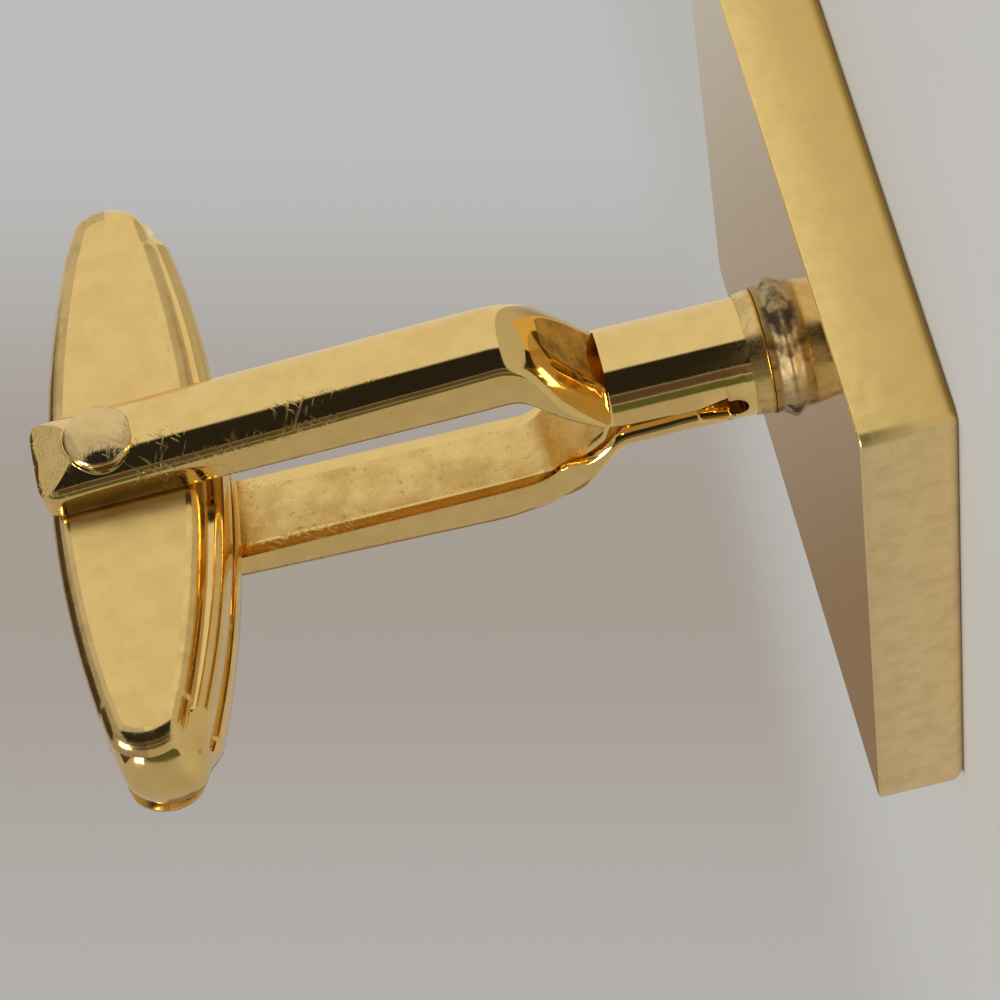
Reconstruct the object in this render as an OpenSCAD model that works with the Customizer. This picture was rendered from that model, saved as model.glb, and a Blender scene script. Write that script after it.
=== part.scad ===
// Swivel-bar cufflink: a square plate, a folded half-round stirrup and a bar on a pin.
// Millimetres. +Z runs up the stem from the plate to the bar, +X along the bar,
// +Y along its pin. The origin is the centre of the plate's front face, on which
// the part stands face down.

/* [Plate] */
// side of the square plate
plate_side = 16; // [14:0.1:18]
// thickness of the plate
plate_t = 2.1; // [1.6:0.1:3]
// radius of the plate's four corners
plate_corner_r = 0.3; // [0.1:0.05:1]
// width of the bevel round the plate's front
plate_bevel = 0.2; // [0.05:0.05:0.4]

/* [Stem] */
// radius of the round stem, half of which is each leg of the folded wire
stem_r = 1.4; // [1.25:0.05:1.6]
// width of the slit between the two legs
slit_w = 0.1; // [0.05:0.05:0.3]
// radius of the eye at the fold
eye_r = 0.28; // [0.2:0.02:0.36]
// height of the eye's centre above the plate
eye_height = 1.38; // [1.3:0.02:1.6]
// distance from the eye's centre to where the slit has closed
eye_reach = 0.85; // [0.7:0.05:1]

/* [Collar and solder] */
// outer radius of the collar round the fold
collar_r = 1.56; // [1.5:0.02:1.9]
// length of the collar
collar_len = 0.45; // [0.3:0.05:0.6]
// height of the solder between the plate and the collar
solder_h = 0.45; // [0.3:0.05:0.6]
// radius of the solder where it meets the plate
solder_foot_r = 1.8; // [1.7:0.05:2.2]
// radius of the solder under the collar
solder_top_r = 1.5; // [1.45:0.05:1.65]
// gap left round the stem for the solder film
solder_film = 0.02; // [0.01:0.01:0.05]

/* [Arms] */
// gap between the arms' flat inner faces
arm_gap = 3.5; // [3.2:0.1:4]
// width of an arm at the crank
arm_w = 1.98; // [1.9:0.02:2.2]
// width of an arm at its end
arm_end_w = 2.24; // [2.1:0.02:2.4]
// thickness of an arm at the pin, from its flat to its crown
arm_t = 1.24; // [1.2:0.02:1.5]
// angle at which the arm's crown draws in towards its end
arm_taper = 2.75; // [1.5:0.05:3.5]
// radius of the arm's crowned outer face
arm_crown_r = 1.38; // [1.34:0.02:1.6]
// height above the plate where the two flats part
crank_height = 4.45; // [4:0.05:5]
// rise of the crank from the slit to the straight arm
crank_rise = 1.6; // [1.4:0.1:2]
// height above the plate at which the crank's outer facet starts
facet_height = 4.2; // [4:0.05:4.6]
// depth of the facet's foot below the stem's surface
facet_depth = 0.3; // [0.1:0.05:0.4]
// height of the facet
facet_rise = 1.25; // [1.1:0.05:1.5]
// how far the facet carries the leg outwards
facet_out = 1.5; // [1.3:0.05:1.6]
// height of the crank's crown over the facet's upper edge
facet_crest = 0.1; // [0.06:0.02:0.16]
// height of the slope between the facet and the straight arm
shoulder_rise = 1.3; // [1:0.1:1.6]
// length of arm beyond the pin's axis
arm_end = 1.6; // [1.4:0.1:2]
// corner radius at the arm's end
arm_corner_r = 0.5; // [0.2:0.1:0.9]
// length of the bevel ground across the arm's outer end
arm_bevel_len = 1.05; // [0.8:0.05:1.2]
// depth of that bevel at the arm's top
arm_bevel_deep = 0.6; // [0.4:0.05:0.7]

/* [Pin] */
// height of the pin's axis above the plate
pin_height = 15.6; // [15:0.1:17]
// radius of the pin
pin_r = 0.55; // [0.45:0.05:0.65]
// width across the flats of the pin's squared middle
pin_square = 0.84; // [0.7:0.02:0.88]
// length of the squared middle
pin_square_len = 2; // [1.8:0.1:2.2]
// running clearance round the pin in the bar
pin_play = 0.05; // [0.02:0.01:0.08]
// clearance of the riveted pin in the arms
rivet_play = 0.02; // [0.01:0.01:0.03]
// radius of the rivet head
head_r = 0.82; // [0.75:0.01:0.95]
// height of the head's straight rim
head_rim = 0.33; // [0.3:0.01:0.4]
// height of the head's dome above its rim
head_dome = 0.2; // [0.1:0.05:0.3]
// depth to which the head is set into the arm's crown
head_sink = 0.3; // [0.25:0.01:0.32]

/* [Swivel bar] */
// length of the bar
bar_len = 15.3; // [14.9:0.1:15.8]
// angle at which the bar's +X end leans towards the plate
bar_tilt = 5.4; // [0:0.1:10]
// clearance between each cheek and its arm
bar_play = 0.05; // [0.02:0.01:0.1]
// distance from the pin's axis down to the middle of the bar
bar_drop = 0.5; // [0.4:0.02:0.6]
// height of the core at the middle of the bar
core_h = 4.14; // [3.9:0.02:4.3]
// thickness of the core between the cheeks
core_w = 2.5; // [2.4:0.05:2.6]
// radius of the core's long curved sides
core_side_r = 24; // [23:0.5:26]
// height of the crown across the core's curved sides
core_crown = 0.4; // [0.2:0.05:0.5]
// radius of the round ends seen from above
bar_end_r = 1.76; // [1.73:0.01:2]
// distance from the pin's axis down to the middle of the cheek
cheek_drop = 0.4; // [0.3:0.02:0.5]
// height of the cheek at the middle of the bar, at the seam
cheek_h = 3.5; // [3.2:0.02:3.6]
// radius of the cheek's long curved sides
cheek_side_r = 26.5; // [25:0.5:30]
// length of a cheek
cheek_len = 14.5; // [14.3:0.1:14.8]
// how much smaller the cheek is at its flat than at the seam
cheek_round = 0.33; // [0.2:0.01:0.4]
// width of the groove along the core's plate side
groove_w = 0.36; // [0.2:0.02:0.5]
// depth of that groove
groove_depth = 0.18; // [0.1:0.02:0.3]
// length of that groove
groove_len = 13.6; // [12:0.1:14]

/* [Leaf spring] */
// thickness of the spring
spring_t = 0.2; // [0.15:0.01:0.25]
// width of the spring
spring_w = 1.6; // [1.2:0.1:1.9]
// length of the spring
spring_len = 8.8; // [8:0.1:9]
// height of the spring's bow
spring_bow = 0.5; // [0.4:0.05:0.6]
// clearance between the spring and what it touches
spring_play = 0.01; // [0.005:0.005:0.02]
// clearance at each end of the spring's window
window_play = 0.2; // [0.1:0.05:0.3]
// how far the window's roof stands above the pin's flat
window_rise = 0.06; // [0.02:0.02:0.1]

/* [Hidden] */
// facets on a turned piece, on a long curved side and on a crown
round_fn = 96;
side_fn = 360;
crown_steps = 8;
// overrun of a cut past the face it opens
cut_over = 0.4;
// side of a square over half its diagonal
diagonal_share = sqrt(2);
// radius of a bar's rounded tip over that of a circle touching both its sides
blunt_share = 1.15;
// half width of the closing slit at the eye's centre over the eye's radius
wedge_share = 0.9;

plate_half = plate_side / 2;
pin_z = plate_t + pin_height;
arm_flat_y = arm_gap / 2;
arm_crown_y = arm_flat_y + arm_t;
arm_top_z = pin_z + arm_end;
crank_z = plate_t + crank_height;
crank_top_z = crank_z + crank_rise;
facet_z = plate_t + facet_height;
facet_top_z = facet_z + facet_rise;
shoulder_z = facet_top_z + shoulder_rise;
shoulder_r = arm_crown_y + (pin_z - shoulder_z) * tan(arm_taper) + facet_crest;
bar_half_w = arm_flat_y - bar_play;
core_half_w = core_w / 2;
core_half_h = core_h / 2;
cheek_half_h = cheek_h / 2;
bar_half_len = bar_len / 2;
pin_flat = pin_square / 2;
bore_r = pin_r + pin_play;
window_len = spring_len + window_play + window_play;
window_roof_z = window_rise - pin_flat;
window_floor_z = -pin_flat - spring_play - spring_bow - spring_t - spring_play;

// radius of a bar's tip seen from the side, from its half length and curved sides
function tip_radius(half_len, side_r, half_h) =
    let (centre = side_r - half_h)
    blunt_share * (side_r * side_r - half_len * half_len - centre * centre)
        / (side_r - half_len) / 2;

// radius of an arc from half its chord and its height
function arc_radius(half_chord, rise) =
    (half_chord * half_chord + rise * rise) / (rise + rise);

// points of an arc about a centre, from one angle to another
function arc_points(centre, r, from, to) =
    [for (i = [0:crown_steps])
        let (a = from + (to - from) * i / crown_steps)
        [centre[0] + r * cos(a), centre[1] + r * sin(a)]];

// a cylinder lying along Y, centred on the origin
module y_cylinder(r, len, fn = round_fn) {
    rotate([90, 0, 0])
        cylinder(r = r, h = len, center = true, $fn = fn);
}

// moves its children to the bar's own frame: origin on the pin, long side along X
module on_bar() {
    translate([0, 0, pin_z])
        rotate([0, bar_tilt, 0])
            children();
}

module face_plate() {
    inner = plate_side - 2 * plate_corner_r;
    corner = plate_half - plate_corner_r;
    color([0.83, 0.68, 0.33])
    difference() {
        linear_extrude(height = plate_t) {
            square([plate_side, inner], center = true);
            square([inner, plate_side], center = true);
            for (x = [-corner, corner])
                for (y = [-corner, corner])
                    translate([x, y])
                        circle(r = plate_corner_r, $fn = round_fn);
        }
        for (turn = [0:90:270])
            rotate([0, 0, turn])
                translate([plate_half, 0, 0])
                    rotate([0, 45, 0])
                        cube([plate_bevel * diagonal_share,
                              plate_side + cut_over,
                              plate_bevel * diagonal_share], center = true);
    }
}

module solder_fillet() {
    color([0.62, 0.53, 0.36])
    translate([0, 0, plate_t])
        difference() {
            cylinder(r1 = solder_foot_r, r2 = solder_top_r, h = solder_h, $fn = round_fn);
            translate([0, 0, -cut_over])
                cylinder(r = stem_r + solder_film, h = solder_h + 2 * cut_over,
                         $fn = round_fn);
        }
}

module stem_collar() {
    color([0.8, 0.66, 0.36])
    translate([0, 0, plate_t + solder_h])
        difference() {
            cylinder(r = collar_r, h = collar_len, $fn = round_fn);
            translate([0, 0, -cut_over])
                cylinder(r = stem_r + solder_film, h = collar_len + 2 * cut_over,
                         $fn = round_fn);
        }
}

// side view of one leg, in Y and Z, from the plate to the arm's end
module leg_profile() {
    foot_y = stem_r - facet_depth;
    clear_y = shoulder_r + cut_over;
    bevel_y = arm_crown_y - arm_bevel_deep;
    polygon([
        [0, plate_t],
        [0, crank_z],
        [slit_w / 2, crank_z],
        [arm_flat_y, crank_top_z],
        [arm_flat_y, arm_top_z],
        [bevel_y, arm_top_z],
        [clear_y, arm_top_z - arm_bevel_len * (clear_y - bevel_y) / arm_bevel_deep],
        [clear_y, facet_top_z],
        [foot_y + facet_out, facet_top_z],
        [foot_y, facet_z],
        [stem_r, facet_z],
        [stem_r, plate_t]
    ]);
}

// front view of an arm, in X and Z, tapered and with its two end corners rounded
module arm_outline() {
    half_w = arm_w / 2;
    half_end = arm_end_w / 2;
    corner_x = half_end - arm_corner_r;
    corner_z = arm_top_z - arm_corner_r;
    polygon([
        [-half_w, facet_z],
        [half_w, facet_z],
        [half_end, corner_z],
        [corner_x, corner_z],
        [corner_x, arm_top_z],
        [-corner_x, arm_top_z],
        [-corner_x, corner_z],
        [-half_end, corner_z]
    ]);
    for (x = [-corner_x, corner_x])
        translate([x, corner_z])
            circle(r = arm_corner_r, $fn = round_fn);
}

// a funnel round which the arm grows out of the round stem, with the crank's bend
module crank_funnel() {
    foot_r = stem_r - facet_depth / 2;
    bend_r = stem_r - facet_depth + facet_out + facet_crest;
    wide_r = shoulder_r + arm_w;
    rotate_extrude($fn = round_fn)
        polygon([
            [0, facet_z],
            [foot_r, facet_z],
            [bend_r, facet_top_z],
            [shoulder_r, shoulder_z],
            [wide_r, shoulder_z + wide_r - shoulder_r],
            [wide_r, arm_top_z + cut_over],
            [0, arm_top_z + cut_over]
        ]);
}

// an arm before its crank is cut: flat inside, crowned outside
module arm_blank() {
    centre_y = arm_crown_y - arm_crown_r;
    side_w = arm_end_w / 2 + arm_crown_r;
    reach = pin_z - facet_z + cut_over;
    intersection() {
        crank_funnel();
        translate([0, centre_y, pin_z])
            rotate([arm_taper, 0, 0])
                translate([0, 0, -reach])
                    linear_extrude(height = reach + arm_end + cut_over) {
                        circle(r = arm_crown_r, $fn = round_fn);
                        translate([-side_w / 2, -arm_crown_r])
                            square([side_w, arm_crown_r]);
                    }
        translate([0, shoulder_r / 2, 0])
            rotate([90, 0, 0])
                linear_extrude(height = shoulder_r + cut_over, center = true)
                    arm_outline();
    }
}

module leg() {
    intersection() {
        union() {
            translate([0, 0, plate_t])
                cylinder(r = stem_r, h = crank_top_z - plate_t, $fn = round_fn);
            arm_blank();
        }
        rotate([90, 0, 90])
            linear_extrude(height = 2 * stem_r + cut_over, center = true)
                leg_profile();
    }
}

// the slit between the legs and the eye at its foot
module fold_cut() {
    eye_z = plate_t + eye_height;
    wedge_half = eye_r * wedge_share;
    rotate([90, 0, 90])
        linear_extrude(height = 2 * stem_r + cut_over, center = true) {
            translate([0, eye_z])
                circle(r = eye_r, $fn = round_fn);
            polygon([[-wedge_half, eye_z], [wedge_half, eye_z], [0, eye_z + eye_reach]]);
            translate([-slit_w / 2, eye_z])
                square([slit_w, crank_z + slit_w - eye_z]);
        }
}

module stirrup() {
    color([0.82, 0.67, 0.33])
    difference() {
        union() {
            leg();
            mirror([0, 1, 0])
                leg();
        }
        fold_cut();
        translate([0, 0, pin_z])
            y_cylinder(pin_r + rivet_play, 2 * (arm_crown_y + cut_over));
        for (side = [-1, 1])
            translate([0, side * (arm_crown_y - head_sink + (head_sink + cut_over) / 2), pin_z])
                y_cylinder(head_r + rivet_play, head_sink + cut_over);
    }
}

// half of the pin, from its middle to one domed head
module half_pin() {
    seat = arm_crown_y - head_sink;
    dome_r = arc_radius(head_r, head_dome);
    rim_top = seat + head_rim;
    rotate([-90, 0, 0])
        rotate_extrude($fn = round_fn)
            polygon(concat(
                [[0, 0], [pin_r, 0], [pin_r, seat], [head_r, seat]],
                arc_points([0, rim_top + head_dome - dome_r], dome_r,
                           90 - asin(head_r / dome_r), 90)));
}

module pivot_pin() {
    flat_len = pin_square_len;
    color([0.84, 0.7, 0.36])
    translate([0, 0, pin_z])
        difference() {
            union() {
                half_pin();
                mirror([0, 1, 0])
                    half_pin();
            }
            rotate([0, bar_tilt, 0])
                for (turn = [0:90:270])
                    rotate([0, turn, 0])
                        translate([pin_flat, -flat_len / 2, -pin_r])
                            cube([pin_r, flat_len, 2 * pin_r]);
        }
}

// a wide disc on edge whose rim is crowned across its thickness
module crowned_disc(rim_r, half_w, crown) {
    crown_r = arc_radius(half_w, crown);
    reach = asin(half_w / crown_r);
    rotate([90, 0, 0])
        rotate_extrude($fn = side_fn)
            polygon(concat(
                [[0, -half_w]],
                arc_points([rim_r - crown_r, 0], crown_r, -reach, reach),
                [[0, half_w]]));
}

// a wide disc on edge for the near cheek, its rim rounded towards the flat
module cheek_disc() {
    thick = bar_half_w - core_half_w;
    round_r = arc_radius(thick, cheek_round);
    reach = asin(thick / round_r);
    rotate([90, 0, 0])
        rotate_extrude($fn = side_fn)
            polygon(concat(
                [[0, core_half_w]],
                arc_points([cheek_side_r - round_r, core_half_w], round_r, 0, reach),
                [[0, bar_half_w]]));
}

// the length of a bar with both its tips rounded, seen from the side
module tip_limit(half_len, side_r, half_h) {
    tip_r = tip_radius(half_len, side_r, half_h);
    tip_x = half_len - tip_r;
    cube([2 * tip_x, 2 * bar_half_w, 2 * (half_h + cut_over)], center = true);
    for (x = [-tip_x, tip_x])
        translate([x, 0, 0])
            y_cylinder(tip_r, 2 * bar_half_w);
}

// the round ends of the whole bar seen from above
module end_limit() {
    centre_x = bar_half_len - bar_end_r;
    linear_extrude(height = 2 * core_h, center = true) {
        square([2 * centre_x, 2 * bar_end_r], center = true);
        for (x = [-centre_x, centre_x])
            translate([x, 0])
                circle(r = bar_end_r, $fn = round_fn);
    }
}

module toggle_core() {
    color([0.83, 0.67, 0.31])
    on_bar()
        difference() {
            translate([0, 0, -bar_drop])
                intersection() {
                    translate([0, 0, core_half_h - core_side_r])
                        crowned_disc(core_side_r, core_half_w, core_crown);
                    translate([0, 0, core_side_r - core_half_h])
                        crowned_disc(core_side_r, core_half_w, core_crown);
                    tip_limit(bar_half_len, core_side_r, core_half_h);
                    end_limit();
                }
            y_cylinder(bore_r, core_w + cut_over);
            translate([-window_len / 2, -core_half_w - cut_over, window_floor_z])
                cube([window_len, core_w + 2 * cut_over, window_roof_z - window_floor_z]);
            core_groove();
        }
}

// the shallow groove along the core's plate side
module core_groove() {
    deep_r = core_side_r - groove_depth;
    intersection() {
        translate([0, 0, core_side_r - core_half_h - bar_drop])
            difference() {
                y_cylinder(core_side_r + cut_over, groove_w, side_fn);
                y_cylinder(deep_r, groove_w + cut_over, side_fn);
            }
        translate([-groove_len / 2, -groove_w, -core_h])
            cube([groove_len, 2 * groove_w, core_h]);
    }
}

// the near cheek in the bar's own frame; the far one is its mirror image
module cheek() {
    difference() {
        intersection() {
            translate([0, 0, cheek_half_h - cheek_side_r - cheek_drop])
                cheek_disc();
            translate([0, 0, cheek_side_r - cheek_half_h - cheek_drop])
                cheek_disc();
            translate([0, 0, -cheek_drop])
                tip_limit(cheek_len / 2, cheek_side_r, cheek_half_h);
            translate([0, 0, -bar_drop])
                end_limit();
        }
        y_cylinder(bore_r, 2 * (bar_half_w + cut_over));
    }
}

module near_cheek() {
    color([0.85, 0.71, 0.38])
    on_bar()
        cheek();
}

module far_cheek() {
    color([0.85, 0.71, 0.38])
    on_bar()
        mirror([0, 1, 0])
            cheek();
}

module leaf_spring() {
    bow_r = arc_radius(spring_len / 2, spring_bow);
    crest_z = -pin_flat - spring_play;
    color([0.6, 0.61, 0.63])
    on_bar()
        intersection() {
            translate([0, 0, crest_z - bow_r])
                difference() {
                    y_cylinder(bow_r, spring_w, side_fn);
                    y_cylinder(bow_r - spring_t, spring_w + cut_over, side_fn);
                }
            translate([-spring_len / 2, -spring_w, crest_z - spring_bow - spring_t])
                cube([spring_len, 2 * spring_w, spring_bow + spring_t + cut_over]);
        }
}

face_plate();
solder_fillet();
stem_collar();
stirrup();
pivot_pin();
toggle_core();
near_cheek();
far_cheek();
leaf_spring();
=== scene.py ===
"""The looks of a gold-plated swivel-bar cufflink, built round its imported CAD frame."""
import logging
import math
from dataclasses import dataclass, replace
from enum import Enum

import bpy
import numpy as np
from mathutils import Matrix, Vector


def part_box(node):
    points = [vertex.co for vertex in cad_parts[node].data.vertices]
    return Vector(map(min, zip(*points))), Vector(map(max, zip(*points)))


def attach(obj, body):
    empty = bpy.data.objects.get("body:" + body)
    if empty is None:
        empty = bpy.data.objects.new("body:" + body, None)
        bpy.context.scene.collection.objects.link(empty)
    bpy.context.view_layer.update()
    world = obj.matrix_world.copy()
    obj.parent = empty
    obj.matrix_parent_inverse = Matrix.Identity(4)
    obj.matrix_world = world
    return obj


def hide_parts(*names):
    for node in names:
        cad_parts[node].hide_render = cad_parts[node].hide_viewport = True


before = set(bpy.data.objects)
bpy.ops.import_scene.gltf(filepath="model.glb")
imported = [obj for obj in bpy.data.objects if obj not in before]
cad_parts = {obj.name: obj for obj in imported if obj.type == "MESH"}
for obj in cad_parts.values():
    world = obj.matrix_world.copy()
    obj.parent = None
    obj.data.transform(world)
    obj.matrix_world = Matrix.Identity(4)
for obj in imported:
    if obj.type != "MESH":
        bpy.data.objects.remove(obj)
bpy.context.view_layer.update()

LOG = logging.getLogger("cufflink")
MM = 0.001
STEM_R = 1.4
ARM_ARC_R = 1.38
HEAD_OVER_ARM = 0.23
HAIR = 0.001
TINY = 1e-6
OUT_OF_REACH = 9.0
FULL_TURN = 2.0 * math.pi
Array = np.ndarray
Colour = tuple[float, float, float]
Triple = tuple[float, float, float]
Span = tuple[float, float]


class Body(str, Enum):
    """The two bodies of the link: what stands still and what turns on the pin."""

    FRAME = "frame"
    BAR = "swivel_bar"


class Slot(str, Enum):
    """Material slots of the record."""

    GOLD = "gold_plate"
    SATIN = "satin_gold"
    SOLDER = "solder"
    STEEL = "spring_steel"


class Side(Enum):
    """Which side of the bar a cheek is on."""

    NEAR = "near"
    FAR = "far"


# Surfaces


def smoothstep(t: Array) -> Array:
    """Returns 3t^2 - 2t^3 with t held between 0 and 1."""
    t = np.clip(t, 0.0, 1.0)
    return t * t * (3.0 - 2.0 * t)


def rounded_line(x: Array, knots_x: list[float], knots_y: list[float], reach: float,
                 samples: int = 25) -> Array:
    """A broken line whose corners are rounded, as the mean of the line over a window.

    Args:
        x: places at which the line is wanted.
        knots_x: places of the line's corners.
        knots_y: heights of the line's corners.
        reach: half width of the window that rounds the corners.
        samples: number of places over the window.

    Returns:
        The rounded line's height at each place.
    """
    offsets = np.linspace(-reach, reach, samples)
    return np.interp(x[:, None] + offsets[None, :], knots_x, knots_y).mean(axis=1)


def soft_min(a: Array, b: Array, width: float) -> Array:
    """The lesser of two surfaces with the crease between them rounded.

    Half of (a + b - sqrt((a - b)^2 + width^2)), which tends to the lesser one.

    Args:
        a: first height.
        b: second height.
        width: how far the crease is rounded.

    Returns:
        The blended height, never below zero.
    """
    return np.maximum(0.5 * (a + b - np.sqrt((a - b) ** 2 + width * width)), 0.0)


def waves(points: Array, scale: float, seed: int, count: int = 24) -> Array:
    """Smooth seeded noise: the mean of sine waves with random directions and phases.

    Args:
        points: places, one per row, in millimetres.
        scale: waves per millimetre.
        seed: seed of the random directions.
        count: number of waves.

    Returns:
        One value per place, about between -1 and 1.
    """
    rng = np.random.default_rng(seed)
    directions = rng.normal(size=(3, count))
    directions *= scale * FULL_TURN / np.linalg.norm(directions, axis=0)
    directions *= rng.uniform(0.5, 1.5, size=count)
    phases = rng.uniform(0.0, FULL_TURN, size=count)
    return np.sin(points @ directions + phases).sum(axis=1) / math.sqrt(count)


@dataclass
class Surface:
    """Vertices in millimetres and four-sided faces, with a finish number for each face."""

    points: Array
    quads: Array
    finish: Array

    def joined(self, other: "Surface") -> "Surface":
        """Returns this surface and another one as a single one."""
        return Surface(np.concatenate([self.points, other.points]),
                       np.concatenate([self.quads, other.quads + len(self.points)]),
                       np.concatenate([self.finish, other.finish]))

    def mirrored(self) -> "Surface":
        """Returns the mirror image across Y, with its faces turned the right way again."""
        return Surface(self.points * np.array([1.0, -1.0, 1.0]), self.quads[:, ::-1], self.finish)

    def to_object(self, name: str, materials: list[bpy.types.Material],
                  crease: float = 32.0) -> bpy.types.Object:
        """Welds the surface and puts it into a mesh object at the origin.

        Vertices that fall together within a ten-thousandth of a millimetre become one, a
        quad with one repeated corner becomes a triangle, and one with two is dropped.

        Args:
            name: the object's name.
            materials: materials, in the order of the finish numbers.
            crease: angle in degrees above which an edge is shaded sharp.

        Returns:
            The new object.
        """
        _, first, index = np.unique(np.round(self.points, 4), axis=0,
                                    return_index=True, return_inverse=True)
        quads = index.reshape(-1)[self.quads]
        repeats = quads == np.roll(quads, -1, axis=1)
        crossed = (quads[:, 0] == quads[:, 2]) | (quads[:, 1] == quads[:, 3])
        count = repeats.sum(axis=1)
        whole, cut = (count == 0) & ~crossed, (count == 1) & ~crossed
        triangles = quads[cut][~repeats[cut]].reshape(-1, 3)
        mesh = bpy.data.meshes.new(name)
        mesh.from_pydata(self.points[first] * MM, [], quads[whole].tolist() + triangles.tolist())
        for material in materials:
            mesh.materials.append(material)
        mesh.polygons.foreach_set("material_index",
                                  np.concatenate([self.finish[whole], self.finish[cut]]))
        mesh.shade_smooth()
        mesh.set_sharp_from_angle(angle=math.radians(crease))
        mesh.update()
        made = bpy.data.objects.new(name, mesh)
        bpy.context.scene.collection.objects.link(made)
        return made


def lofted(rings: Array, finish: Array | None = None) -> Surface:
    """A closed tube through rings of points.

    Args:
        rings: array of ring, point on the ring, and X, Y and Z. Points run so that the
            faces between one ring and the next look outwards.
        finish: finish number of each face, by ring gap and column; all 0 if left out.

    Returns:
        The tube, open at its first and last ring.
    """
    rows, columns = rings.shape[:2]
    row = np.arange(rows - 1)[:, None] * columns
    column = np.arange(columns)[None, :]
    following = (column + 1) % columns
    quads = np.stack(np.broadcast_arrays(row + column, row + following,
                                         row + columns + following, row + columns + column), -1)
    if finish is None:
        finish = np.zeros((rows - 1, columns), int)
    return Surface(rings.reshape(-1, 3), quads.reshape(-1, 4), finish.reshape(-1))


def with_poles(rings: Array, first: bool = True, last: bool = True) -> Array:
    """Closes rings at their ends by a further ring drawn together in one point.

    Args:
        rings: array of ring, point on the ring, and X, Y and Z.
        first: whether the first ring is closed.
        last: whether the last ring is closed.

    Returns:
        The rings with the closing ones added.
    """
    parts = [rings]
    if first:
        parts.insert(0, np.broadcast_to(rings[:1].mean(axis=1, keepdims=True), rings[:1].shape))
    if last:
        parts.append(np.broadcast_to(rings[-1:].mean(axis=1, keepdims=True), rings[-1:].shape))
    return np.concatenate(parts)


def fillet(centre: Span, radius: float, start: float, stop: float, steps: int = 5) -> Array:
    """Points of an arc in a profile's plane.

    Args:
        centre: the arc's centre.
        radius: the arc's radius.
        start: first angle in degrees.
        stop: last angle in degrees.
        steps: number of points.

    Returns:
        The points, one per row.
    """
    angle = np.radians(np.linspace(start, stop, steps))
    return np.stack([centre[0] + radius * np.cos(angle), centre[1] + radius * np.sin(angle)], 1)


def turned(profile: Array, columns: int, base_z: float = 0.0) -> Array:
    """Rings of a turned piece: its profile of radius and height swept round Z.

    Args:
        profile: radius and height, one point per row, from the bottom up outside.
        columns: number of points round a ring.
        base_z: height added to the profile.

    Returns:
        Rings of points.
    """
    angle = np.linspace(0.0, FULL_TURN, columns, endpoint=False)
    return np.stack([profile[:, :1] * np.cos(angle), profile[:, :1] * np.sin(angle),
                     np.broadcast_to(profile[:, 1:] + base_z, (len(profile), columns))], -1)


# Finishes


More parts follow.
